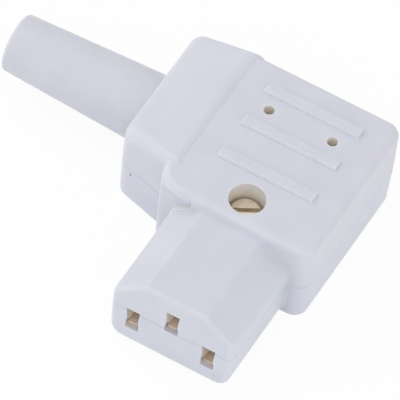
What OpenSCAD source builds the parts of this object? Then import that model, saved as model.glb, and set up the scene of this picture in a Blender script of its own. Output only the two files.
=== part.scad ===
// Right-angle rewirable appliance connector with the 10 A three-pole pattern.
// The plug nose points along -Y and the cable leaves along -X. Z = 0 is the flat underside of the base
// shell. The origin lies on it, where the nose's centre plane crosses the cable's axis.
// All sizes are in millimetres.

/* [Housing] */
// Height of the base shell, from its underside to the joint line
base_h = 8.1; // [7.6:0.1:9.4]
// Height of the cover above the joint line
cover_h = 9.5; // [9.3:0.1:11]
// From the nose's centre plane to the end wall on the right
body_right = 14.5; // [14:0.1:17]
// From the nose's centre plane to the left wall beside the nose
body_left = 15.2; // [14.8:0.1:16]
// From the cable's axis to the front wall
body_front = 19.1; // [18.8:0.1:21]
// From the cable's axis to the back wall
body_back = 13.1; // [12.6:0.1:15.5]
// From the nose's centre plane to the wall that the cable enters
body_end = 24.6; // [24:0.1:28]
// Thickness of the side walls
wall = 1.8; // [1.5:0.1:2.2]
// Thickness of the base's floor
floor_t = 1.8; // [1.4:0.1:2.2]
// Thickness of the cover's roof
roof_t = 1.9; // [1.5:0.1:2.3]
// Radius of the big upright corner beside the nose
big_corner_r = 5.2; // [4:0.2:6]
// How far the front wall is hollowed beside the nose
hollow_depth = 0.65; // [0.3:0.05:0.8]
// Radius of the other upright corners
corner_r = 2.7; // [2.3:0.1:3.5]
// Rounding of the cover's top edge
top_edge_r = 1.3; // [0.8:0.1:1.6]
// Rounding of the base's bottom edge
bottom_edge_r = 0.7; // [0.5:0.1:1.2]
// How far the base's walls lean in from the joint line to the floor
base_draft = 0.25; // [0.1:0.05:0.6]

/* [Cable end] */
// From the nose's centre plane to the middle of the step up to the sloping top
slope_x = 13.8; // [13.2:0.1:14.1]
// How far the sloping top stands above the flat top where it starts
slope_step = 0.3; // [0.2:0.1:0.5]
// Fall of the sloping top towards the cable, in degrees
slope_angle = 13; // [10:1:14]
// Rounding of the block's top edge along its front
block_edge_r = 2.6; // [2:0.1:2.6]
// How far the block at the cable end steps back from the front wall, at its outer corner
block_setback = 7.1; // [6.6:0.1:8.6]
// How far it steps back where it meets the main body
block_root_setback = 4.5; // [4:0.1:5]

/* [Nose] */
// Width of the nose
nose_w = 22.3; // [22:0.1:24]
// Length of the nose, from the front wall
nose_len = 18.7; // [18:0.1:22]
// Height of the nose above the joint line
nose_rise = 7.7; // [7.4:0.1:8.6]
// How far the nose's underside stands above the housing's underside
nose_lift = 0.45; // [0.2:0.05:0.9]
// Width of the flat on top of the nose, between the two bevels
nose_flat = 11; // [10:0.1:12.5]
// Height of the nose's upright sides above the joint line
nose_side = 3.3; // [2.8:0.1:3.8]
// Rounding of the nose's lower corners
nose_corner_r = 2.4; // [1.5:0.1:3]
// Rounding of the nose's front rim
nose_rim_r = 0.9; // [0.4:0.1:1.2]
// Thickness of the nose's front wall
front_wall = 1; // [1:0.1:2]
// Fillet between the nose and the housing's front wall
nose_fillet_r = 0.5; // [0.2:0.05:0.6]

/* [Contacts] */
// Distance between the line pin and the neutral pin
pin_pitch = 14; // [13.6:0.1:14.4]
// How far the earth pin stands above the other two
earth_rise = 4; // [3.6:0.1:4.4]
// Width of a pin
pin_w = 2; // [1.8:0.1:2.2]
// Height of a pin
pin_h = 4; // [3.8:0.1:4.2]
// Room round a pin in the front wall, on each side
slot_play = 0.24; // [0.2:0.01:0.5]
// Thickness of the contact strip
strip_t = 0.4; // [0.3:0.05:0.5]
// Length of the closed box that carries the two springs
contact_box_len = 5.7; // [5:0.1:7]
// Gap between the springs where they grip
spring_gap = 1.7; // [1.4:0.1:1.8]

/* [Terminals] */
// Width of a terminal block
block_w = 4.4; // [4:0.1:4.6]
// Length of a terminal block
block_len = 7; // [6.5:0.1:7.2]
// Height of a terminal block
block_h = 5.6; // [5.2:0.1:6]
// Width of the wire's way in
wire_w = 2.8; // [2.4:0.1:3]
// Height of the wire's way in
wire_h = 2.8; // [2.4:0.1:3]
// Major diameter of a terminal screw
term_screw_d = 3; // [2.6:0.1:3.2]
// From the front wall's face to the line and neutral blocks
block_gap = 3.5; // [3.3:0.1:3.8]
// Head diameter of a terminal screw
term_head_d = 4; // [3.6:0.1:4.2]

/* [Case screw] */
// Major diameter of the screw that holds the two shells together
case_screw_d = 3; // [2.8:0.1:3.2]
// Head diameter
case_head_d = 5.5; // [5:0.1:5.7]
// Head height
case_head_h = 2; // [1.6:0.1:2.2]
// From the base's underside to the screw's tip
screw_tip_z = 0.5; // [0.3:0.1:0.8]
// Diameter of the counterbore in the cover
counterbore_d = 6.3; // [6.2:0.1:6.6]
// How deep the head lies below the cover's flat top
head_depth = 3; // [2.6:0.1:3.2]
// Thickness of the washer under the head
washer_t = 0.5; // [0.4:0.1:0.7]
// Outer diameter of the washer
washer_d = 6; // [5.8:0.1:6.1]
// Width of the square nut
nut_w = 5.5; // [5.2:0.1:5.8]
// From the front wall's face to the screw's axis
screw_setback = 4.9; // [4.9:0.1:5.3]
// Thickness of the square nut
nut_t = 1.8; // [1.6:0.1:2]
// From the base's underside to the nut
nut_recess = 0.7; // [0.4:0.1:0.9]

/* [Cable sleeve and clamp] */
// Bore of the cable sleeve
sleeve_bore_d = 8; // [7:0.1:8.2]
// Diameter of the sleeve where it leaves the housing
sleeve_root_d = 12.5; // [12:0.1:13]
// Diameter of the sleeve at its free end
sleeve_tip_d = 10.3; // [10:0.1:11]
// Length of the sleeve outside the housing
sleeve_len = 26.4; // [22:0.1:32]
// Diameter of the sleeve's neck, where the end wall grips it
sleeve_neck_d = 10.8; // [10.4:0.1:11.2]
// Diameter of the sleeve's flange inside the housing
sleeve_flange_d = 12.8; // [12.2:0.1:13]
// Diameter of the cable that the clamp holds
cable_d = 7.5; // [6.5:0.1:7.6]
// Distance between the two clamp screws
clamp_pitch = 15.2; // [15:0.1:15.6]
// Diameter of the clamp screws
clamp_screw_d = 2.7; // [2.4:0.1:2.9]
// Length of the clamp screws under the head
clamp_screw_len = 7.6; // [6.5:0.1:8]
// Head diameter of the clamp screws
clamp_head_d = 4.8; // [4.4:0.1:5]

/* [Top details] */
// Length of the raised bars
bar_len = 18; // [14:0.5:20]
// Width of the raised bars
bar_w = 2.25; // [1.6:0.05:2.6]
// Height of the raised bars
bar_h = 0.45; // [0.2:0.05:0.6]
// Distance between the raised bars
bar_pitch = 7.85; // [7:0.05:8.2]
// Diameter of the two cored holes
core_hole_d = 1.9; // [1.5:0.1:2.2]
// Depth of the two cored holes
core_hole_depth = 3.2; // [2:0.1:3.6]
// Distance between the two cored holes
core_pitch = 11.9; // [11:0.1:12.5]

/* [Hidden] */

$fn = 64;
corner_steps = 8;
edge_steps = 6;
eps = 0.01;
far = 200;

// Clearances between pieces
seat_gap = 0.1;
slide_gap = 0.15;
thread_gap = 0.05;

// Heights
joint_z = base_h;
top_z = base_h + cover_h;
ceiling_z = top_z - roof_t;
line_z = joint_z - earth_rise / 2;
earth_z = joint_z + earth_rise / 2;

// Plan positions
front_y = -body_front;
back_y = body_back;
nose_front_y = front_y - nose_len;
inner_front_y = front_y + wall;
inner_back_y = back_y - wall;

// Contact strip
pin_play = 0.2;
box_w = pin_w + 2 * pin_play + 2 * strip_t;
box_inner_h = pin_h + 0.3;
web_drop = box_inner_h / 2 + strip_t;
box_front_y = front_y - 2.4 - contact_box_len;
box_back_y = front_y - 2.4;
mouth_y = nose_front_y + front_wall + seat_gap;
spring_h = pin_h - 0.4;
spring_mouth_gap = pin_w + 0.3;
slot_waist = slot_play - 0.03;
channel_w = box_w + 2 * slide_gap;
channel_top = box_inner_h + 2 * strip_t + seat_gap;
line_seat_z = line_z - web_drop;
earth_seat_z = earth_z - web_drop;

// Terminals: each block stands on the tail of its contact
tail_w = 3;
term_x = pin_pitch / 2 + 2;
term_front_y = front_y + block_gap;
term_y = term_front_y + block_len / 2;
term_seat_z = line_seat_z + strip_t;
earth_strap_w = 2;
post_y = 3.75;
post_r = 2.1;
earth_term_y = post_y - post_r - 0.65 - block_len / 2;
rivet_r = 0.95;
wire_floor_t = 0.9;
guard_t = 0.3;
guard_lip = 1.2;
term_head_h = 1.6;
term_head_lift = 0.55;

// Case screw
screw_y = front_y + screw_setback;
head_top_z = top_z - head_depth;
head_seat_z = head_top_z - case_head_h;
washer_seat_z = head_seat_z - washer_t;
case_screw_len = head_seat_z - screw_tip_z;
screw_hole_r = case_screw_d / 2 + slide_gap;
column_r = screw_hole_r + 1.35;
counterbore_wall = 1.2;
counterbore_r = counterbore_d / 2;
head_column_z = washer_seat_z - 1;
head_column_r = counterbore_r + counterbore_wall;
nut_pad_r = 5.2;
nut_pad_z = nut_recess + nut_t + 0.9;
slot_turn = 31;
earth_strap_x = column_r + 0.3 + earth_strap_w / 2;
rib_t = 0.7;
rib_x = earth_strap_x + earth_strap_w / 2 + 0.4;

// Cable end
end_wall = 2.15;
neck_play = 0.1;
flange_len = 2.15;
end_x = -body_end;
flange_x = end_x + end_wall;
partition_x = flange_x + flange_len + 2 * seat_gap;
partition_t = 1.35;
room_x = partition_x + partition_t;
cable_way_r = 4.6;
sleeve_rim_r = 0.5;
boss_r = clamp_screw_d / 2 + 0.85;
clamp_w = 3.6;
clamp_x = room_x + 0.5 + max(clamp_w, clamp_head_d) / 2;
clamp_seat_z = joint_z + 0.8;
clamp_ear_t = 2;
clamp_arch_t = 1.5;
clamp_arch_r = cable_d / 2 + 0.05;
clamp_head_h = 1.7;
saddle_w = 2;

plan_overlap = 6;
roof_rib_h = 2.5;

// The step up to the sloping top, and the groove that the shells' edges leave along the joint
ramp_w = 2;
ramp_top_x = -slope_x - ramp_w / 2;
hollow_end_x = -nose_w / 2 + 3.4;
seam_w = 0.1;
seam_depth = 0.12;

// Joint between the shells: a lip on the base in a rebate of the cover
lip_inset = wall / 2;
lip_h = 1;

// ------------------------------------------------------------------ outlines

function unit(v) = v / norm(v);
function left_of(v) = [-v[1], v[0]];
function turn(v, a) = [v[0] * cos(a) - v[1] * sin(a), v[0] * sin(a) + v[1] * cos(a)];

// One rounded corner of an outline that runs anticlockwise. before, at and after are [x, y, radius];
// every side is moved inwards by inset, so an outer round gets tighter and an inner one wider.
function corner(before, at, after, inset) =
    let (
        p = [at[0], at[1]],
        d1 = unit(p - [before[0], before[1]]),
        d2 = unit([after[0], after[1]] - p),
        n1 = left_of(d1),
        n2 = left_of(d2),
        miter = (n1 + n2) / (1 + n1 * n2),
        bend = atan2(d1[0] * d2[1] - d1[1] * d2[0], d1 * d2),
        side = bend > 0 ? 1 : -1,
        r = at[2] == 0 ? 0 : max(at[2] - side * inset, 0.2),
        centre = p + miter * (inset + side * r)
    )
    r == 0
        ? [centre]
        : [for (k = [0:corner_steps]) centre - side * r * turn(n1, bend * k / corner_steps)];

function outline(corners, inset = 0) =
    let (n = len(corners))
    [for (i = [0:n - 1]) each corner(corners[(i + n - 1) % n], corners[i], corners[(i + 1) % n], inset)];

// The main body seen from above. Its back left corner is square, inside the cable block.
main_corners = [
    [body_right, front_y, corner_r],
    [body_right, back_y, corner_r],
    [-body_left, back_y, 0],
    [-body_left, front_y, big_corner_r],
];

// The block at the cable end seen from above, as far right as x. Its back and end walls are moved out
// by grow.
function block_corners(x, grow = 0) = [
    [x, back_y + grow, 0],
    [end_x - grow, back_y + grow, corner_r],
    [end_x - grow, block_front(end_x - grow), corner_r],
    [x, block_front(x), 0],
];
function block_front(x) = front_y + block_setback
    - (block_setback - block_root_setback) * (x - end_x) / (body_end - body_left);

// The nose seen from the front, with the joint line at height 0. Its left side and its underside are
// drawn in by hold, so that an outline let out by the same amount grows only at the top and the right.
bevel = (nose_rise - nose_side) / (nose_w - nose_flat) * 2;
function nose_corners(hold = 0) = [
    [-nose_w / 2 + base_draft + hold, nose_lift - base_h + hold, nose_corner_r],
    [nose_w / 2 - base_draft, nose_lift - base_h + hold, nose_corner_r],
    [nose_w / 2, 0, 0],
    [nose_w / 2, nose_side, 1.2],
    [nose_flat / 2, nose_rise, 1.2],
    [-nose_flat / 2, nose_rise, 1.2],
    [-nose_w / 2 + hold, nose_side + hold * bevel, 1.2],
    [-nose_w / 2 + hold, 0, 0],
];

// A solid through rings of equally many points, closed by a fan at each end. Each fan starts from the
// middle of its ring, so a ring may be any outline that can be seen whole from there.
module loft(rings) {
    n = len(rings[0]);
    m = len(rings);
    middle = function (ring) [for (i = [0:2]) (min([for (p = ring) p[i]]) + max([for (p = ring) p[i]])) / 2];
    points = [for (ring = rings) each ring, middle(rings[0]), middle(rings[m - 1])];
    sides = [for (j = [0:m - 2]) for (i = [0:n - 1]) let (k = (i + 1) % n)
        each [[j * n + i, (j + 1) * n + i, (j + 1) * n + k], [j * n + i, (j + 1) * n + k, j * n + k]]];
    first_cap = [for (i = [0:n - 1]) [m * n, i, (i + 1) % n]];
    last_cap = [for (i = [0:n - 1]) [m * n + 1, (m - 1) * n + (i + 1) % n, (m - 1) * n + i]];
    polyhedron(points = points, faces = concat(sides, first_cap, last_cap), convexity = 6);
}

// [height, inset] up the outside of the housing: bottom edge, leaning base wall, upright cover, top edge.
base_profile = concat(
    [for (k = [0:edge_steps]) let (a = 90 * k / edge_steps)
        [bottom_edge_r * (1 - cos(a)), base_draft + bottom_edge_r * (1 - sin(a))]],
    [[joint_z, 0]]
);
function top_profile(r, angles) = [for (a = angles) [top_z - r * (1 - sin(a)), r * (1 - cos(a))]];
wall_profile = concat(base_profile, top_profile(top_edge_r, [for (k = [0:edge_steps]) 90 * k / edge_steps]));
block_profile = concat(base_profile, top_profile(block_edge_r, [0, 15, 30, 45, 55, 65, 74, 82, 90]));

// Height of the sloping top above a place left of ramp_top_x.
function slope_z(x) = top_z + slope_step + tan(slope_angle) * (x - ramp_top_x);
function sloped(x, z) = z <= joint_z ? z : joint_z + (z - joint_z) * (slope_z(x) - joint_z) / cover_h;

// How far right the block reaches at a height: the upper rings end on the step, the others inside the body.
function block_right(z) =
    ramp_top_x + ramp_w * sqrt(min(top_z - z, block_edge_r) / (slope_step + tan(slope_angle) * ramp_w));
// The block's back and end edges keep the rounding of the main body's.
function small_inset(z, inset) =
    z <= joint_z ? inset
    : z < top_z - top_edge_r ? 0
    : top_edge_r - sqrt(max(top_edge_r ^ 2 - (z - top_z + top_edge_r) ^ 2, 0));

module main_body() {
    difference() {
        loft([for (w = wall_profile) [for (p = outline(main_corners, w[1])) [p[0], p[1], w[0]]]]);
        hollow();
        slit();
    }
}

// What is taken from the front wall between its rounded corner and the nose: the wall turns in smoothly
// from a narrow ridge, and comes back out under the top edge.
module hollow() {
    ridge = [-body_left, front_y] + big_corner_r * [1 + cos(210), 1 + sin(210)];
    end = [hollow_end_x, front_y + hollow_depth];
    turn_in = ridge + 0.7 * [-sin(210), cos(210)];
    lead = end + [-0.72 * (end[0] - ridge[0]), 1.1];
    // from the end back to the ridge
    curve = [for (k = [10:-1:0]) let (t = k / 10)
        (1 - t) ^ 3 * ridge + 3 * (1 - t) ^ 2 * t * turn_in + 3 * (1 - t) * t ^ 2 * lead + t ^ 3 * end];
    // [height below the top, how far the curve has moved out]
    levels = [[top_z + 1, 0], [4.8, 0], [3.6, 0.1], [2.6, 0.35], [1.7, 0.8], [0.9, 1.5], [0.4, 2.2]];
    loft([for (w = levels) concat(
        [[ridge[0], front_y - 6, top_z - w[0]], [end[0], front_y - 6, top_z - w[0]]],
        [for (c = curve) [c[0], c[1] - w[1], top_z - w[0]]]
    )]);
}

// The narrow slit where the hollow ends beside the nose.
module slit() {
    box([hollow_end_x - 0.25, hollow_end_x + 0.02], [front_y - 1, front_y + wall / 2],
        [top_z - 3.1, top_z - 1.5]);
}

module cable_block() {
    loft([for (w = block_profile)
        let (corners = block_corners(block_right(w[0]) + w[1], w[1] - small_inset(w[0], w[1])))
        [for (p = outline(corners, w[1])) [p[0], p[1], sloped(p[0], w[0])]]]);
}

// The nose runs into the main body, so that the two join in one solid, with a fillet where it leaves it.
module nose() {
    root = nose_len + wall;
    profile = concat(
        [[0, -nose_fillet_r]],
        [for (a = [0, 25, 50, 70, 90])
            [wall + nose_fillet_r * (1 - cos(a)), -nose_fillet_r * (1 - sin(a))]],
        [[root - nose_rim_r, 0]],
        [for (k = [1:edge_steps]) let (a = 90 * k / edge_steps)
            [root - nose_rim_r * (1 - sin(a)), nose_rim_r * (1 - cos(a))]]
    );
    translate([0, inner_front_y, joint_z])
        rotate([90, 0, 0])
            loft([for (w = profile)
                [for (p = outline(nose_corners(max(-w[1], 0)), w[1])) [p[0], p[1], w[0]]]]);
}

// ------------------------------------------------------------------ inside of the housing

module plan(inset) {
    polygon(outline(main_corners, inset));
    polygon(outline(block_corners(-slope_x + plan_overlap), inset));
}

module box(x, y, z) {
    translate([x[0], y[0], z[0]]) cube([x[1] - x[0], y[1] - y[0], z[1] - z[0]]);
}

// A round solid along the cable's axis, from x0 to x1.
module round_x(r, x0, x1) {
    translate([x0, 0, joint_z]) rotate([0, 90, 0]) cylinder(r = r, h = x1 - x0);
}

// The wiring room: one straight-sided space behind the nose, and the clamp's room under the sloping top.
module wiring_room() {
    main_left = -slope_x + wall;
    intersection() {
        translate([0, 0, floor_t]) linear_extrude(ceiling_z - floor_t) plan(wall);
        union() {
            box([main_left, far], [-far, far], [floor_t, ceiling_z]);
            translate([0, far / 2, 0]) rotate([90, 0, 0]) linear_extrude(far)
                polygon([
                    [room_x, floor_t], [main_left + eps, floor_t], [main_left + eps, ceiling_z],
                    [-slope_x, ceiling_z - slope_step], [room_x, slope_z(room_x) - roof_t],
                ]);
        }
    }
}

// The way in for the cable: neck hole, flange pocket and the hole through the partition.
module cable_way() {
    round_x(sleeve_neck_d / 2 + neck_play, end_x - 1, flange_x + 1);
    round_x(sleeve_flange_d / 2 + slide_gap, flange_x, partition_x);
    round_x(cable_way_r, partition_x - 1, room_x + 1);
}

// Room for one contact in the nose, and its slot in the front wall.
module contact_room(x, z) {
    seat = z - web_drop;
    half_w = pin_w / 2 + slot_play;
    half_h = pin_h / 2 + slot_play + 0.2;
    box([x - channel_w / 2, x + channel_w / 2], [nose_front_y + front_wall, box_back_y + slide_gap * 2],
        [seat, seat + channel_top]);
    // the slot has a waist half way up, just wide enough for the pin
    translate([x, nose_front_y + front_wall + 1, z]) rotate([90, 0, 0]) linear_extrude(front_wall + 2)
        polygon([
            [-half_w, -half_h], [half_w, -half_h], [half_w, -half_h * 0.45], [half_w - slot_waist, 0],
            [half_w, half_h], [-half_w, half_h], [slot_waist - half_w, 0], [-half_w, -half_h * 0.45],
        ]);
}

// The shallow groove all round the joint, half in each shell.
module seam() {
    translate([0, 0, joint_z - seam_w / 2]) linear_extrude(seam_w)
        difference() {
            square(far, center = true);
            polygon(outline(main_corners, seam_depth));
            polygon(outline(block_corners(-slope_x), seam_depth));
            offset(r = nose_rim_r - seam_depth) offset(delta = -nose_rim_r)
                translate([-nose_w / 2, nose_front_y]) square([nose_w, nose_len + wall + nose_rim_r]);
        }
}

module contact_rooms() {
    for (s = [-1, 1]) contact_room(s * pin_pitch / 2, line_z);
    contact_room(0, earth_z);
}

// Open troughs in the base for the tails of the line and neutral contacts.
module tail_trough(s) {
    x0 = pin_pitch / 2 - channel_w / 2;
    x1 = term_x + tail_w / 2 + slide_gap;
    x = s > 0 ? [x0, x1] : [-x1, -x0];
    half = channel_w / 2;
    box([s * pin_pitch / 2 - half, s * pin_pitch / 2 + half], [box_back_y, inner_front_y + eps],
        [line_seat_z, joint_z + eps]);
    box(x, [front_y + 0.15, inner_front_y + eps], [line_seat_z, joint_z + eps]);
}

// Shallow tray in the base for the earth contact's strap.
module strap_tray() {
    box([-channel_w / 2, channel_w / 2], [box_back_y, inner_front_y + eps], [earth_seat_z, joint_z + eps]);
    box([-channel_w / 2, earth_strap_x + earth_strap_w / 2 + slide_gap],
        [front_y - 0.5 - slide_gap, inner_front_y + eps], [earth_seat_z, joint_z + eps]);
}

// The lip's run along the walls. It stops at the nose, at the hollow and at the clamp's room.
module lip_band(outer, inner) {
    difference() {
        plan(outer);
        plan(inner);
        translate([-nose_w / 2 - 1, front_y - 1]) square([nose_w + 2, wall + 2]);
        translate([-body_left - 1, front_y - 1]) square([body_left, big_corner_r * 0.6 + 1]);
        translate([end_x - 1, -far / 2]) square([room_x - end_x + 1, far]);
    }
}

// ------------------------------------------------------------------ shells

module outside() {
    main_body();
    cable_block();
    nose();
}

module screw_column(r, z0, z1) {
    translate([0, screw_y, z0]) cylinder(r = r, h = z1 - z0);
}

module posts(r, z0, z1) {
    for (s = [-1, 1]) translate([s * core_pitch / 2, post_y, z0]) cylinder(r = r, h = z1 - z0);
}

module clamp_bosses(r, z0, z1) {
    for (s = [-1, 1]) translate([clamp_x, s * clamp_pitch / 2, z0]) cylinder(r = r, h = z1 - z0);
}

// Two rails that carry one terminal block and the tail under it.
module rails(x, y) {
    for (s = [-1, 1])
        box([x + s * 1.35 - 0.5, x + s * 1.35 + 0.5], [y - block_len / 2, y + block_len / 2],
            [floor_t - eps, line_seat_z]);
}

module base_inside() {
    // column and pad of the case screw
    screw_column(nut_pad_r, 0.5, nut_pad_z);
    screw_column(column_r, 0.5, joint_z);
    // posts that meet the cover's, with a spigot on each
    posts(post_r, floor_t - eps, joint_z);
    posts(core_hole_d / 2, floor_t, joint_z + 1.8);
    // bosses and saddle of the cord clamp
    clamp_bosses(boss_r, floor_t - eps, clamp_seat_z);
    difference() {
        box([clamp_x - saddle_w / 2, clamp_x + saddle_w / 2], [-cable_d / 2 - 0.6, cable_d / 2 + 0.6],
            [floor_t - eps, joint_z - 2.2]);
        round_x(cable_d / 2, room_x, clamp_x + saddle_w);
    }
    // barriers between the poles, and the rail under the earth strap
    for (s = [-1, 1])
        box(s > 0 ? [rib_x, rib_x + rib_t] : [-rib_x - rib_t, -rib_x],
            [inner_front_y - eps, term_y + block_len / 2], [floor_t - eps, joint_z]);
    box([earth_strap_x - 0.45, earth_strap_x + 0.45], [screw_y, term_y + block_len / 2],
        [floor_t - eps, earth_seat_z]);
    // seats of the three terminals
    for (s = [-1, 1]) rails(s * term_x, term_y);
    rails(earth_strap_x, earth_term_y);
}

module base_shell() color("#dfe1e8") {
    difference() {
        union() {
            difference() {
                intersection() {
                    outside();
                    box([-far, far], [-far, far], [-1, joint_z]);
                }
                wiring_room();
            }
            translate([0, 0, joint_z - 1]) linear_extrude(1 + lip_h) lip_band(lip_inset, wall);
            base_inside();
        }
        seam();
        cable_way();
        contact_rooms();
        tail_trough(-1);
        tail_trough(1);
        strap_tray();
        screw_column(screw_hole_r, -1, joint_z + 1);
        // pocket of the square nut, open at the underside
        translate([0, screw_y, -1 + (nut_recess + nut_t + 1) / 2])
            cube([nut_w + 2 * seat_gap, nut_w + 2 * seat_gap, nut_recess + nut_t + 1], center = true);
        clamp_bosses(clamp_screw_d / 2 + thread_gap, floor_t + 0.6, clamp_seat_z + 1);
    }
}

module cover_inside() {
    screw_column(column_r, joint_z, ceiling_z + eps);
    screw_column(head_column_r, head_column_z, ceiling_z + eps);
    posts(post_r, joint_z, ceiling_z + eps);
    // stiffening ribs across the roof, between the columns and the walls
    for (x = [-core_pitch / 2, core_pitch / 2])
        box([x - rib_t / 2, x + rib_t / 2], [post_y, inner_back_y + eps],
            [ceiling_z - roof_rib_h, ceiling_z + eps]);
    box([-core_pitch / 2, core_pitch / 2], [post_y - rib_t / 2, post_y + rib_t / 2],
        [ceiling_z - roof_rib_h, ceiling_z + eps]);
}

module cover_shell() color("#e3e5ec") {
    difference() {
        union() {
            difference() {
                intersection() {
                    outside();
                    box([-far, far], [-far, far], [joint_z, far]);
                }
                wiring_room();
            }
            cover_inside();
            bars();
        }
        seam();
        cable_way();
        contact_rooms();
        translate([0, 0, joint_z - 1]) linear_extrude(1 + lip_h + seat_gap)
            lip_band(lip_inset - seat_gap, wall + seat_gap);
        screw_column(screw_hole_r, joint_z - 1, top_z);
        screw_column(counterbore_r, washer_seat_z, top_z + 1);
        posts(core_hole_d / 2, top_z - core_hole_depth, top_z + 1);
        posts(core_hole_d / 2 + seat_gap, joint_z - 1, joint_z + 2);
    }
}

// Three raised bars with leaning sides on the cover's flat top, level with the middle of the wiring room.
module bars() {
    bar_x = 0.3;
    bar_y = -0.25;
    lean = bar_h * 0.5;
    for (k = [-1:1]) translate([bar_x, bar_y + k * bar_pitch, top_z])
        hull() {
            box([-bar_len / 2, bar_len / 2], [-bar_w / 2, bar_w / 2], [-0.2, 0]);
            box([lean - bar_len / 2, bar_len / 2 - lean], [lean - bar_w / 2, bar_w / 2 - lean],
                [-0.2, bar_h]);
        }
}

// ------------------------------------------------------------------ cable sleeve and clamp

module cable_sleeve() color("#d2d5de") {
    root_r = sleeve_root_d / 2;
    tip_r = sleeve_tip_d / 2;
    neck_r = sleeve_neck_d / 2;
    flange_r = sleeve_flange_d / 2;
    bore_r = sleeve_bore_d / 2;
    inner_end = end_wall + seat_gap + flange_len;
    rim = [for (k = [0:edge_steps]) let (a = 90 * k / edge_steps)
        [tip_r - sleeve_rim_r * (1 - cos(a)), -sleeve_len + sleeve_rim_r * (1 - sin(a))]];
    // the profile is drawn with its length along Y, then laid along the cable's axis
    translate([end_x, 0, joint_z]) rotate([0, 90, 0])
        rotate_extrude()
            polygon(concat(
                [[bore_r, -sleeve_len], [bore_r, inner_end], [flange_r, inner_end],
                 [flange_r, end_wall + seat_gap], [neck_r, end_wall + seat_gap], [neck_r, -seat_gap / 2],
                 [root_r, -seat_gap / 2]],
                rim
            ));
}

module cord_clamp() color("#d8dae2") {
    half = clamp_pitch / 2 + 2;
    difference() {
        union() {
            intersection() {
                round_x(clamp_arch_r + clamp_arch_t, clamp_x - clamp_w / 2, clamp_x + clamp_w / 2);
                box([-far, far], [-far, far], [clamp_seat_z, far]);
            }
            box([clamp_x - clamp_w / 2, clamp_x + clamp_w / 2], [-half, half],
                [clamp_seat_z, clamp_seat_z + clamp_ear_t]);
        }
        round_x(clamp_arch_r, clamp_x - clamp_w, clamp_x + clamp_w);
        clamp_bosses(clamp_screw_d / 2 + slide_gap, clamp_seat_z - 1, far);
    }
}

// A slotted screw with its head's underside at height 0, pointing down.
module slotted_screw(shank_d, shank_len, head_d, head_h, slot_w, slot_depth, slot_angle) {
    tip = 0.4;
    edge = head_d * 0.08;
    difference() {
        rotate_extrude()
            polygon([
                [0, -shank_len], [shank_d / 2 - tip, -shank_len], [shank_d / 2, -shank_len + tip],
                [shank_d / 2, 0], [head_d / 2, 0], [head_d / 2, head_h - edge], [head_d / 2 - edge, head_h],
                [0, head_h],
            ]);
        rotate([0, 0, slot_angle])
            translate([0, 0, head_h])
                cube([head_d + 1, slot_w, 2 * slot_depth], center = true);
    }
}

module clamp_screw(s) color("#c9cbd0")
    translate([clamp_x, s * clamp_pitch / 2, clamp_seat_z + clamp_ear_t])
        slotted_screw(clamp_screw_d, clamp_screw_len, clamp_head_d, clamp_head_h, 0.7, 0.8, 20 * s);

// ------------------------------------------------------------------ case screw, washer and nut

module case_screw() color("#b9ab8c")
    translate([0, screw_y, head_seat_z])
        slotted_screw(case_screw_d, case_screw_len, case_head_d, case_head_h, 0.85, 0.9, slot_turn);

module case_screw_washer() color("#c9cbd0")
    translate([0, screw_y, washer_seat_z])
        difference() {
            cylinder(d = washer_d, h = washer_t);
            translate([0, 0, -1]) cylinder(r = screw_hole_r - thread_gap, h = washer_t + 2);
        }

module case_nut() color("#c4a45a")
    translate([0, screw_y, nut_recess])
        difference() {
            translate([-nut_w / 2, -nut_w / 2, 0]) cube([nut_w, nut_w, nut_t]);
            translate([0, 0, -1]) cylinder(r = case_screw_d / 2 + thread_gap, h = nut_t + 2);
        }

// ------------------------------------------------------------------ contacts

// Half the gap between the springs, t from 0 at the box to 1 at the mouth: they close in and flare out.
grip_at = 0.72;
function spring_half_gap(t) =
    t < grip_at
        ? pin_w / 2 + pin_play - (pin_w / 2 + pin_play - spring_gap / 2) * (1 - cos(180 * t / grip_at)) / 2
        : spring_gap / 2
            + (spring_mouth_gap - spring_gap) / 2 * (1 - cos(90 * (t - grip_at) / (1 - grip_at)));

module spring() {
    steps = 14;
    length = mouth_y - box_front_y;
    linear_extrude(spring_h)
        polygon(concat(
            [for (k = [0:steps]) [spring_half_gap(k / steps), k / steps * length]],
            [for (k = [steps:-1:0]) [spring_half_gap(k / steps) + strip_t, k / steps * length]]
        ));
}

// The folded box and its two springs, standing on the contact's seat at height 0.
module contact_socket() {
    difference() {
        box([-box_w / 2, box_w / 2], [box_front_y, box_back_y], [0, box_inner_h + 2 * strip_t]);
        box([-box_w / 2 + strip_t, box_w / 2 - strip_t], [box_front_y - 1, box_back_y + 1],
            [strip_t, strip_t + box_inner_h]);
        // the seam where the folded edges meet
        box([-0.1, 0.1], [box_front_y - 1, box_back_y + 1], [strip_t + 1, far]);
    }
    // the tongue under the springs
    box([strip_t - box_w / 2, box_w / 2 - strip_t], [mouth_y, box_front_y + eps], [0, strip_t]);
    for (s = [0, 1]) mirror([s, 0, 0])
        translate([0, box_front_y, strip_t + (box_inner_h - spring_h) / 2]) spring();
}

// A flat strip at height 0, with the rivet hole of its terminal.
module tail(points, hole) {
    linear_extrude(strip_t)
        difference() {
            polygon(points);
            translate(hole) circle(r = rivet_r + thread_gap);
        }
}

module contact_side(s) {
    x0 = pin_pitch / 2;
    x1 = term_x;
    y0 = front_y + 0.3;
    y1 = term_front_y - 0.2;
    half = tail_w / 2;
    mirror([s < 0 ? 1 : 0, 0, 0]) translate([0, 0, line_seat_z]) {
        translate([x0, 0, 0]) contact_socket();
        tail([
            [x0 - half, box_back_y - eps], [x0 + half, box_back_y - eps], [x0 + half, y0],
            [x1 + half, y1], [x1 + half, term_y + block_len / 2], [x1 - half, term_y + block_len / 2],
            [x1 - half, y1], [x0 - half, y0],
        ], [x1, term_y]);
    }
}

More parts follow.
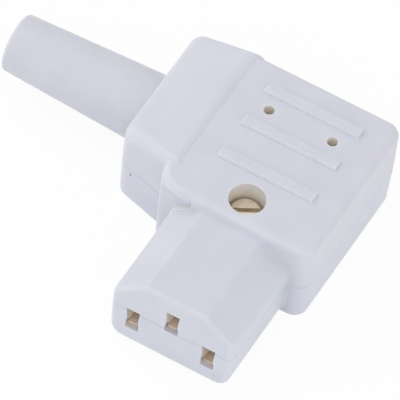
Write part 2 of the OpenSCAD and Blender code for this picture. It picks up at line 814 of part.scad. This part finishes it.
// The earth strap runs past the case screw's column, then steps down to its terminal.
module contact_earth() color("#c8a55c") {
    x0 = earth_strap_x - earth_strap_w / 2;
    x1 = earth_strap_x + earth_strap_w / 2;
    step_y = earth_term_y - block_len / 2 - 1.6;
    translate([0, 0, earth_seat_z]) {
        contact_socket();
        linear_extrude(strip_t)
            polygon([
                [-box_w / 2, box_back_y - eps], [box_w / 2, box_back_y - eps], [box_w / 2, front_y - 0.5],
                [x1, front_y - 0.5], [x1, step_y], [x0, step_y], [x0, inner_front_y - 0.6],
                [-box_w / 2, inner_front_y - 0.6],
            ]);
    }
    box([x0, x1], [step_y - strip_t, step_y], [line_seat_z, earth_seat_z + strip_t]);
    translate([0, 0, line_seat_z])
        tail([
            [x0, step_y - eps], [x1, step_y - eps], [x1 + 0.5, step_y + 1],
            [x1 + 0.5, earth_term_y + block_len / 2], [x0 - 0.5, earth_term_y + block_len / 2],
            [x0 - 0.5, step_y + 1],
        ], [earth_strap_x, earth_term_y]);
}

module contact_line() color("#c8a55c") contact_side(-1);
module contact_neutral() color("#c8a55c") contact_side(1);

// ------------------------------------------------------------------ terminals

// A brass block on the contact's tail, with the wire's way in from the back and the screw from above.
module terminal_block() {
    difference() {
        union() {
            box([-block_w / 2, block_w / 2], [-block_len / 2, block_len / 2], [0, block_h]);
            translate([0, 0, -strip_t]) cylinder(r = rivet_r, h = strip_t + eps);
        }
        box([-wire_w / 2, wire_w / 2], [-block_len / 2 + 1, block_len / 2 + 1],
            [wire_floor_t, wire_floor_t + wire_h]);
        translate([0, 0, wire_floor_t + wire_h - eps])
            cylinder(r = term_screw_d / 2 + thread_gap, h = block_h);
    }
}

module terminal_screw() {
    tip_z = wire_floor_t + wire_h;
    head_z = block_h + term_head_lift;
    translate([0, 0, head_z])
        slotted_screw(term_screw_d, head_z - tip_z, term_head_d, term_head_h, 0.7, 0.8, 25);
}

// A thin leaf under the screw's tip, hooked over the block's back.
module wire_guard() {
    top = wire_floor_t + wire_h - thread_gap;
    half = wire_w / 2 - thread_gap;
    back = block_len / 2;
    box([-half, half], [-block_len / 2 + 1.2, back + thread_gap + guard_t], [top - guard_t, top]);
    box([-half, half], [back + thread_gap, back + thread_gap + guard_t], [top - guard_t, top + guard_lip]);
}

module at_terminal(pole) {
    x = pole == "line" ? -term_x : pole == "neutral" ? term_x : earth_strap_x;
    y = pole == "earth" ? earth_term_y : term_y;
    translate([x, y, term_seat_z]) children();
}

module terminal(pole) color("#c4a45a") at_terminal(pole) terminal_block();
module screw_of(pole) color("#c9cbd0") at_terminal(pole) terminal_screw();
module guard_of(pole) color("#b8bcc4") at_terminal(pole) wire_guard();

// ------------------------------------------------------------------ the part

base_shell();
cover_shell();
cable_sleeve();
case_screw();
case_screw_washer();
case_nut();
contact_line();
contact_neutral();
contact_earth();
terminal("line");  // terminal_line
terminal("neutral");  // terminal_neutral
terminal("earth");  // terminal_earth
screw_of("line");  // terminal_screw_line
screw_of("neutral");  // terminal_screw_neutral
screw_of("earth");  // terminal_screw_earth
guard_of("line");  // wire_guard_line
guard_of("neutral");  // wire_guard_neutral
guard_of("earth");  // wire_guard_earth
cord_clamp();
clamp_screw(-1);  // clamp_screw_front
clamp_screw(1);  // clamp_screw_back
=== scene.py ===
# %% [markdown]
# # A white right-angle appliance connector
#
# The object is a mains connector that its user can wire: two moulded shells held by one screw, a
# plug nose with three slotted openings, and a soft sleeve that keeps the cable from kinking. We
# start from its exact solids, which fix every size. What is left for us is what a solid doesn't
# have: a camera, light, finishes, and one small dark speck.

# %% Load the solids and keep their box
import math

import bmesh
import bpy
from mathutils import Matrix, Vector, noise


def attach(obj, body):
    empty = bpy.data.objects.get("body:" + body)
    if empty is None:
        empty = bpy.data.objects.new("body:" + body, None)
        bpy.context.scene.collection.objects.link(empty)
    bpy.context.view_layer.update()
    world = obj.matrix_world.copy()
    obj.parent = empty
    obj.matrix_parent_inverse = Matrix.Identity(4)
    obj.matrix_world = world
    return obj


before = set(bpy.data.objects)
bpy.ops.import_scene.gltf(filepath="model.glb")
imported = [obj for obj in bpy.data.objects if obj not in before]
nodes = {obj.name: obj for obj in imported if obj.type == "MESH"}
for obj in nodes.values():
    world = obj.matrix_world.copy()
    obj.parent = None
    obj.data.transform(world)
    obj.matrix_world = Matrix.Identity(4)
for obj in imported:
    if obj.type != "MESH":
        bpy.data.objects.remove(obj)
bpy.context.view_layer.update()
MM = 0.001


# %% [markdown]
# ## The camera
#
# Seen from far off through a long lens, the parallel edges of the shells stay parallel, and the
# connector looks like the small object it is. We could aim a camera with a Track To constraint, but
# its roll would then be zero, and this object is turned a few degrees in its frame. So we build the
# camera's three axes from azimuth, elevation and roll, and put them in its matrix.

# %% Camera axes from azimuth, elevation and roll
AZIMUTH, ELEVATION, ROLL = math.radians(22.73), math.radians(52.40), math.radians(8.45)


def camera_axes(azimuth, elevation, roll):
    """Right, up and back of a camera that looks at the object."""
    back = Vector((
        math.sin(azimuth) * math.cos(elevation),
        -math.cos(azimuth) * math.cos(elevation),
        math.sin(elevation),
    ))
    right = Vector((math.cos(azimuth), math.sin(azimuth), 0.0))
    up = back.cross(right)
    c, s = math.cos(roll), math.sin(roll)
    return right * c + up * s, up * c - right * s, back


right, up, back = camera_axes(AZIMUTH, ELEVATION, ROLL)
print("camera looks along", [round(-v, 3) for v in back])

# %% A long lens far from the object
DISTANCE = 1.210
FOCAL_PER_WIDTH = 18.535
SENSOR_WIDTH = 36.0
AIM = Vector((0.0, -13.6, 8.1)) * MM
SHIFT = Vector((-7.13, 5.17)) * MM

lens = bpy.data.cameras.new("long_lens")
lens.sensor_fit = "HORIZONTAL"
lens.sensor_width = SENSOR_WIDTH
lens.lens = FOCAL_PER_WIDTH * SENSOR_WIDTH
lens.clip_start, lens.clip_end = 0.05, 20.0
camera = bpy.data.objects.new("camera", lens)
bpy.context.scene.collection.objects.link(camera)
where = AIM + right * SHIFT.x + up * SHIFT.y + back * DISTANCE
rows = [(right[i], up[i], back[i], where[i]) for i in range(3)]
camera.matrix_world = Matrix((*rows, (0.0, 0.0, 0.0, 1.0)))
bpy.context.scene.camera = camera
print("camera at", [round(v, 3) for v in where], "lens", round(lens.lens), "mm")

# %% [markdown]
# ## Short ways to write node trees
#
# Every finish below is a node tree. Made by hand in code, each node takes a line for its kind, one
# for each value and one for each link, and the idea gets lost among them. Three helpers keep the
# trees readable: one empties a tree, one adds a node with its values and links at once, and one
# starts a material from a Principled shader.

# %% Helpers for node trees
def fresh_tree(block):
    """The emptied node tree of a new material or world."""
    block.use_nodes = True
    block.node_tree.nodes.clear()
    return block.node_tree


def add(tree, kind, values=None, links=None, **settings):
    """A node of that kind, with its settings, unlinked values and links from other sockets."""
    node = tree.nodes.new(kind)
    for key, value in settings.items():
        setattr(node, key, value)
    for socket, value in (values or {}).items():
        node.inputs[socket].default_value = value
    for socket, source in (links or {}).items():
        tree.links.new(source, node.inputs[socket])
    return node


def new_material(name):
    """A material with its output and its Principled shader, and its tree."""
    material = bpy.data.materials.new(name)
    tree = fresh_tree(material)
    shader = add(tree, "ShaderNodeBsdfPrincipled")
    add(tree, "ShaderNodeOutputMaterial", links={"Surface": shader.outputs["BSDF"]})
    return material, tree, shader


print("helpers: fresh_tree, add, new_material")

# %% [markdown]
# ## Paper under the connector
#
# The connector lies on a sheet of white paper. Lit plainly, paper renders as a light grey, and more
# light would burn out the white plastic. So the paper looks white only to the rays that show it:
# those from the camera, and those that a shiny or clear surface sends on. For them a plain white
# glow is mixed over it. A small share of the real paper stays, and holds the object's faint shadow.

# %% The rays that see white
def white_rays(tree):
    """A socket that is 1 for camera, glossy and transmission rays, and 0 for all others."""
    path = add(tree, "ShaderNodeLightPath")
    seen = path.outputs["Is Camera Ray"]
    for kind in ("Is Glossy Ray", "Is Transmission Ray"):
        seen = add(tree, "ShaderNodeMath", links={0: seen, 1: path.outputs[kind]},
                   operation="MAXIMUM").outputs[0]
    return seen


print("helper: white_rays")

# %% Floor of white paper
PAPER = (0.93, 0.93, 0.94, 1.0)
WHITE = (1.0, 1.0, 1.0, 1.0)
WHITE_SHARE = 0.93
FLOOR_SIZE = 3.0
FLOOR_Z = -0.02 * MM


def white_paper():
    """Paper that glows plain white for the rays that show it."""
    material = bpy.data.materials.new("white_floor")
    tree = fresh_tree(material)
    paper = add(tree, "ShaderNodeBsdfDiffuse", {"Color": PAPER})
    glow = add(tree, "ShaderNodeEmission", {"Color": WHITE, "Strength": 1.0})
    share = add(tree, "ShaderNodeMath", {1: WHITE_SHARE}, {0: white_rays(tree)},
                operation="MULTIPLY")
    mix = add(tree, "ShaderNodeMixShader",
              links={0: share.outputs[0], 1: paper.outputs[0], 2: glow.outputs[0]})
    add(tree, "ShaderNodeOutputMaterial", links={"Surface": mix.outputs[0]})
    return material


half = FLOOR_SIZE / 2
corners = [(x, y, FLOOR_Z) for x, y in ((-half, -half), (half, -half), (half, half), (-half, half))]
sheet = bpy.data.meshes.new("floor")
sheet.from_pydata(corners, [], [(0, 1, 2, 3)])
sheet.materials.append(white_paper())
floor = bpy.data.objects.new("floor", sheet)
bpy.context.scene.collection.objects.link(floor)
print("floor:", FLOOR_SIZE, "m square")

# %% [markdown]
# ## Light
#
# White plastic shows its shape only by small steps of grey, so the light has to be soft and nearly
# even, with a little more of it from the upper left. One big lamp would be too hard and one even
# sky too flat. We use both: a world of one colour gives more than half of the light, and seven
# large, weak lamps give each face its own step. Two at the front are the widest, so that the low
# bars on the cover throw no long shadows. The world is white to the rays that show it, like the
# paper.

# %% Even light from all round
SKY_TINT = (0.985, 0.99, 1.0, 1.0)


def sky(strength):
    """Even light of that strength, and plain white for the rays that show it."""
    world = bpy.data.worlds.new("tent")
    bpy.context.scene.world = world
    tree = fresh_tree(world)
    light = add(tree, "ShaderNodeBackground", {"Color": SKY_TINT, "Strength": strength})
    white = add(tree, "ShaderNodeBackground", {"Color": WHITE, "Strength": 1.0})
    mix = add(tree, "ShaderNodeMixShader",
              links={0: white_rays(tree), 1: light.outputs[0], 2: white.outputs[0]})
    add(tree, "ShaderNodeOutputWorld", links={"Surface": mix.outputs[0]})
    return world


bpy.context.scene.view_settings.view_transform = "Standard"
print("world:", sky(0.640).name)

# %% Seven soft lamps
LAMP_AIM = Vector((-15.0, -10.0, 8.0)) * MM
LAMPS = (  # name, place and side in metres, power in watts
    ("lamp_left", (-0.80, 0.00, 0.20), 0.50, 0.60),
    ("lamp_high_left", (-0.55, 0.10, 0.60), 0.50, 1.80),
    ("lamp_front", (0.00, -0.78, 0.34), 1.00, 1.10),
    ("lamp_right", (0.80, 0.10, 0.18), 0.70, 1.15),
    ("lamp_low_left", (-0.45, -0.66, 0.03), 0.50, 0.50),
    ("lamp_low_right", (0.66, -0.45, 0.15), 1.00, 1.35),
    ("lamp_near_camera", (0.19, -0.46, 0.65), 0.50, 0.40),
)


def soft_lamp(name, place, side, watts):
    """A square lamp that faces the object."""
    light = bpy.data.lights.new(name, "AREA")
    light.shape, light.size, light.energy = "SQUARE", side, watts
    lamp = bpy.data.objects.new(name, light)
    bpy.context.scene.collection.objects.link(lamp)
    lamp.location = place
    lamp.rotation_euler = (LAMP_AIM - Vector(place)).to_track_quat("-Z", "Y").to_euler()


for row in LAMPS:
    soft_lamp(*row)
print("lamps:", len(LAMPS), "total", round(sum(row[3] for row in LAMPS), 2), "W")

# %% [markdown]
# ## Smooth corners on faceted solids
#
# The shells come as flat facets, fine enough to follow the rounded corners but still visible as
# facets in a highlight. Subdivision would change the shape. Instead we let the light run smoothly
# over every edge that bends less than a set angle: the facets are joined, the stored normals are
# dropped, and only edges sharper than the limit stay sharp. A small geometry-node group does all
# three, so the solid's own points stay untouched. A Weighted Normal modifier after it lets the
# largest face at each point decide its normal: the flat walls then stay flat up to their edge, and
# the whole turn of the light happens on the narrow rounded faces, as on a real moulding.

# %% A node group that smooths shading below an angle
SMOOTH_BELOW = 26  # degrees; the coarsest rounding, at the nose's root, turns by 25 a facet
JOIN_WITHIN = 0.002 * MM


def smoothing_group(name, limit_degrees):
    """Smooth faces, with sharp edges only where they bend more than the limit."""
    group = bpy.data.node_groups.new(name, "GeometryNodeTree")
    for way in ("INPUT", "OUTPUT"):
        group.interface.new_socket("Geometry", in_out=way, socket_type="NodeSocketGeometry")
    start = add(group, "NodeGroupInput")
    forget = add(group, "GeometryNodeRemoveAttribute", {"Name": "custom_normal"},
                 {"Geometry": start.outputs[0]})
    join = add(group, "GeometryNodeMergeByDistance", {"Distance": JOIN_WITHIN},
               {"Geometry": forget.outputs[0]})
    faces = add(group, "GeometryNodeSetShadeSmooth", {"Shade Smooth": True},
                {"Geometry": join.outputs[0]}, domain="FACE")
    angle = add(group, "GeometryNodeInputMeshEdgeAngle")
    gentle = add(group, "FunctionNodeCompare", {"B": math.radians(limit_degrees)},
                 {"A": angle.outputs["Unsigned Angle"]}, data_type="FLOAT", operation="LESS_THAN")
    edges = add(group, "GeometryNodeSetShadeSmooth",
                links={"Geometry": faces.outputs[0], "Shade Smooth": gentle.outputs[0]},
                domain="EDGE")
    add(group, "NodeGroupOutput", links={0: edges.outputs[0]})
    return group


smooth_shading = smoothing_group("smooth_below_26_degrees", SMOOTH_BELOW)
print("group:", smooth_shading.name)

# %% Both modifiers on every solid
for node in nodes.values():
    soften = node.modifiers.new("smooth_shading", "NODES")
    soften.node_group = smooth_shading
    level = node.modifiers.new("large_faces_stay_flat", "WEIGHTED_NORMAL")
    level.mode = "FACE_AREA"
    level.weight = 100
    level.keep_sharp = True
print("smoothed:", len(nodes))

# %% [markdown]
# ## Moulded plastic: colour
#
# The shells are a hard white plastic with a cold, slightly blue tint, and faint, wide clouds where
# it flowed and cooled. Deep places, such as the screw's bore, the small cored holes and the contact
# slots, get painted light: their colour turns a paler, warmer cream, standing in for light that
# bounces from wall to wall and takes on the plastic's own warmth, which the cold light outside
# hides. Sharp edges get a painted highlight: their colour is a touch paler. All of it could be
# painted on an unwrapped picture, at the cost of seams. Here noise in object space gives the
# clouds,
# and an Ambient Occlusion node finds the rest by asking how much of its own part a point can see:
# little from deep inside, and, asked inwards, little from just under an edge. That works from every
# side.

# %% Clouds, painted recess light and painted edge highlights
CLOUD_SIZE = 6 * MM
RECESS_REACH = 8 * MM
# Painted light: the paler, warmer cream that recesses turn to.
PAINTED_RECESS_LIGHT = (0.90, 0.84, 0.75)
RECESS_START, RECESS_FULL = 0.60, 0.15
EDGE_REACH = 0.14 * MM
EDGE_START, EDGE_FULL = 0.85, 0.40
# Painted highlight: the paler colour that sharp edges turn to.
PAINTED_EDGE_HIGHLIGHT = (0.80, 0.80, 0.82)
EDGE_HIGHLIGHT_SHARE = 0.3


def stretched(tree, value, start, end, low=0.0, high=1.0):
    """The socket of that value, stretched from start..end to low..high."""
    return add(tree, "ShaderNodeMapRange",
               {"From Min": start, "From Max": end, "To Min": low, "To Max": high},
               {"Value": value}).outputs[0]


def mixed(tree, factor, under, over):
    """The socket of a mix from one colour to another; each is a socket or three numbers."""
    node = add(tree, "ShaderNodeMix", data_type="RGBA", blend_type="MIX")
    tree.links.new(factor, node.inputs["Factor"])
    slots = [s for s in node.inputs if s.type == "RGBA"]
    for slot, value in zip(slots, (under, over)):
        if isinstance(value, tuple):
            slot.default_value = (*value, 1.0)
        else:
            tree.links.new(value, slot)
    return [s for s in node.outputs if s.type == "RGBA"][0]


def painted_recess_and_edge_light(tree, colour):
    """That colour, with painted warm light in its recesses and painted highlights on sharp edges.
    """
    hidden = add(tree, "ShaderNodeAmbientOcclusion", {"Distance": RECESS_REACH},
                 samples=8, only_local=True)
    # Painted light: the colour of recesses turns a paler, warmer cream.
    deep = stretched(tree, hidden.outputs["AO"], RECESS_START, RECESS_FULL)
    colour = mixed(tree, deep, colour, PAINTED_RECESS_LIGHT)
    cut = add(tree, "ShaderNodeAmbientOcclusion", {"Distance": EDGE_REACH},
              samples=8, only_local=True, inside=True)
    # Painted highlight: sharp edges turn a touch paler.
    edge_highlight = stretched(tree, cut.outputs["AO"], EDGE_START, EDGE_FULL, high=EDGE_HIGHLIGHT_SHARE)
    return mixed(tree, edge_highlight, colour, PAINTED_EDGE_HIGHLIGHT)


print("recesses turn warm within", RECESS_REACH / MM, "mm, edges pale within", EDGE_REACH / MM)

# %% [markdown]
# ## Moulded plastic: skin and depth
#
# Up close the surface has a fine satin grain from the mould, about a fifth of a millimetre wide.
# The same noise drives the roughness and a very shallow bump, so that the bright and dull specks
# fall where the surface really rises. White plastic also lets light in a little way. Red goes
# deepest, so thin edges look warm and shadows soft. We could fake that with a lighter colour.
# Subsurface light, at a depth of about a millimetre, does it from the shape itself.

# %% Moulded plastic material
GRAIN_HEIGHT = 0.02 * MM
ROUGH_SPREAD = 0.06
PLASTIC_BODY = {
    "Subsurface Weight": 0.6,
    "Subsurface Radius": (1.0, 0.62, 0.42),
    "Subsurface Scale": 1.2 * MM,
    "IOR": 1.5,
    "Specular IOR Level": 0.45,
}


def moulded_plastic(name, colour, roughness=0.42, grain=0.16, grain_mm=0.22, cloud=0.03,
                    paint_light=True):
    """Plastic with a fine grain, faint clouds, light under its skin, and optional painted light."""
    material, tree, shader = new_material(name)
    place = add(tree, "ShaderNodeTexCoord").outputs["Object"]
    clouds = add(tree, "ShaderNodeTexNoise",
                 {"Scale": 1 / CLOUD_SIZE, "Detail": 3.0, "Roughness": 0.55}, {"Vector": place})
    specks = add(tree, "ShaderNodeTexNoise",
                 {"Scale": 1 / (grain_mm * MM), "Detail": 4.0, "Roughness": 0.6}, {"Vector": place})
    darker = tuple(c * (1 - cloud) for c in colour)
    skin = mixed(tree, stretched(tree, clouds.outputs["Fac"], 0.35, 0.65), darker, colour)
    # Painted light in recesses and painted highlights on sharp edges, unless turned off.
    if paint_light:
        skin = painted_recess_and_edge_light(tree, skin)
    rough = stretched(tree, specks.outputs["Fac"], 0.3, 0.7,
                      roughness - ROUGH_SPREAD, roughness + ROUGH_SPREAD)
    bump = add(tree, "ShaderNodeBump", {"Strength": grain, "Distance": GRAIN_HEIGHT},
               {"Height": specks.outputs["Fac"]})
    for socket, source in (("Base Color", skin), ("Roughness", rough),
                           ("Normal", bump.outputs["Normal"])):
        tree.links.new(source, shader.inputs[socket])
    for socket, value in PLASTIC_BODY.items():
        shader.inputs[socket].default_value = value
    return material


print("plastic: light goes", PLASTIC_BODY["Subsurface Scale"] / MM, "mm deep")

# %% Four whites
cover_white = moulded_plastic("cover_white", (0.662, 0.672, 0.736))
# Painted light: the base is a touch bluer than the cover, for the paper's cold light on the lower
# shell.
base_white_painted_floor_light = moulded_plastic("base_white_painted_floor_light", (0.655, 0.668, 0.744))
clamp_white = moulded_plastic("clamp_white", (0.62, 0.63, 0.68), roughness=0.5)
sleeve_white = moulded_plastic("sleeve_white", (0.635, 0.645, 0.708),
                               roughness=0.55, grain=0.22, grain_mm=0.3)
print("plastics:", ", ".join(m.name for m in (cover_white, base_white_painted_floor_light, clamp_white, sleeve_white)))

# %% [markdown]
# ## Metal
#
# The case screw is plated brass, the smaller screws, the washer and the guards are zinc-plated
# steel, and the contacts and terminals are brass. Rolled strip has fine lines along its length and
# a stain here and there; on a turned or headed part the lines are fainter. Metal that has tarnished
# scatters light instead of mirroring it, so the old brass in the slots is set much less metallic
# than the clean screws. One function serves all, with the colour, the roughness, the lines and the
# shine set for each.

# %% Metal material
STAIN_SIZE = 1.6 * MM
LINES_PER_METRE = (9000.0, 500.0, 9000.0)
LINE_HEIGHT = 0.01 * MM


def worn_metal(name, colour, stain, roughness, lines=0.1, metallic=1.0):
    """Metal with fine drawn lines and stained patches."""
    material, tree, shader = new_material(name)
    place = add(tree, "ShaderNodeTexCoord").outputs["Object"]
    patches = add(tree, "ShaderNodeTexNoise",
                  {"Scale": 1 / STAIN_SIZE, "Detail": 5.0, "Roughness": 0.6}, {"Vector": place})
    along = add(tree, "ShaderNodeMapping", {"Scale": LINES_PER_METRE}, {"Vector": place})
    drawn = add(tree, "ShaderNodeTexNoise", {"Scale": 1.0, "Detail": 2.0},
                {"Vector": along.outputs[0]})
    skin = mixed(tree, stretched(tree, patches.outputs["Fac"], 0.42, 0.68), colour, stain)
    rough = stretched(tree, patches.outputs["Fac"], 0.3, 0.7, roughness - 0.08, roughness + 0.12)
    bump = add(tree, "ShaderNodeBump", {"Strength": lines, "Distance": LINE_HEIGHT},
               {"Height": drawn.outputs["Fac"]})
    for socket, source in (("Base Color", skin), ("Roughness", rough),
                           ("Normal", bump.outputs["Normal"])):
        tree.links.new(source, shader.inputs[socket])
    shader.inputs["Metallic"].default_value = metallic
    return material


print("metal: stains about", STAIN_SIZE / MM, "mm wide")

# %% Plating, zinc and two brasses
screw_plating = worn_metal("screw_plating", (0.75, 0.665, 0.53), (0.58, 0.50, 0.37), 0.42,
                           metallic=0.7)
zinc_steel = worn_metal("zinc_steel", (0.60, 0.61, 0.63), (0.48, 0.49, 0.51), 0.32)
strip_brass = worn_metal("strip_brass", (0.95, 0.82, 0.68), (0.82, 0.68, 0.54), 0.55,
                         lines=0.2, metallic=0.2)
block_brass = worn_metal("block_brass", (0.66, 0.52, 0.28), (0.52, 0.39, 0.20), 0.30)
print("metals:", ", ".join(m.name for m in (screw_plating, zinc_steel, strip_brass, block_brass)))

# %% [markdown]
# ## A finish for every solid
#
# On the bench, a maker sorts the parts by what they are made of. We do the same with their names.
# A list with a row for each of the 21 parts would work, but line, neutral and earth repeat four
# times in it. The first words of a name are enough, if the longer ones come first.

# %% Give each solid its finish
FINISH = (
    ("base_shell", base_white_painted_floor_light),
    ("cover_shell", cover_white),
    ("cable_sleeve", sleeve_white),
    ("cord_clamp", clamp_white),
    ("clamp_screw", zinc_steel),
    ("case_screw_washer", zinc_steel),
    ("case_screw", screw_plating),
    ("case_nut", block_brass),
    ("contact", strip_brass),
    ("wire_guard", zinc_steel),
    ("terminal_screw", zinc_steel),
    ("terminal", block_brass),
)
for name, node in sorted(nodes.items()):
    finish = next(material for start, material in FINISH if name.startswith(start))
    node.data.materials.clear()
    node.data.materials.append(finish)
    print(name, "is", finish.name)

# %% [markdown]
# ## A dark speck on the wall
#
# A dark dot shows on the wall of the cable block, less than half a millimetre wide. A dot could be
# painted by the material, but then it has no shape and no shadow. We take a small ball of dark
# triangles, push its points in and out with noise so that it looks like a crumb, and sink part of
# it into the wall.

# %% A dark crumb on the wall
SPECK_AT = Vector((-21.71, -12.78, 6.82)) * MM
SPECK_HALF = Vector((0.19, 0.08, 0.14)) * MM
LUMP_DEPTH, LUMPS_ACROSS = 0.28, 1.7


def crumb(name, at, half_size, finish):
    """A lumpy grain with those half sizes."""
    lump = bmesh.new()
    bmesh.ops.create_icosphere(lump, subdivisions=3, radius=1.0)
    for vert in lump.verts:
        vert.co *= 1.0 + LUMP_DEPTH * noise.noise(vert.co * LUMPS_ACROSS)
        vert.co = vert.co * half_size + at
    for face in lump.faces:
        face.smooth = True
    mesh = bpy.data.meshes.new(name)
    lump.to_mesh(mesh)
    lump.free()
    mesh.materials.append(finish)
    grain = bpy.data.objects.new(name, mesh)
    bpy.context.scene.collection.objects.link(grain)
    return grain


dark_speck_finish = moulded_plastic("dark_speck_finish", (0.17, 0.15, 0.13), roughness=0.6, grain=0.3,
                                cloud=0.3, paint_light=False)
speck = crumb("speck", SPECK_AT, SPECK_HALF, dark_speck_finish)
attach(speck, "root")
print("speck:", len(speck.data.vertices), "points")
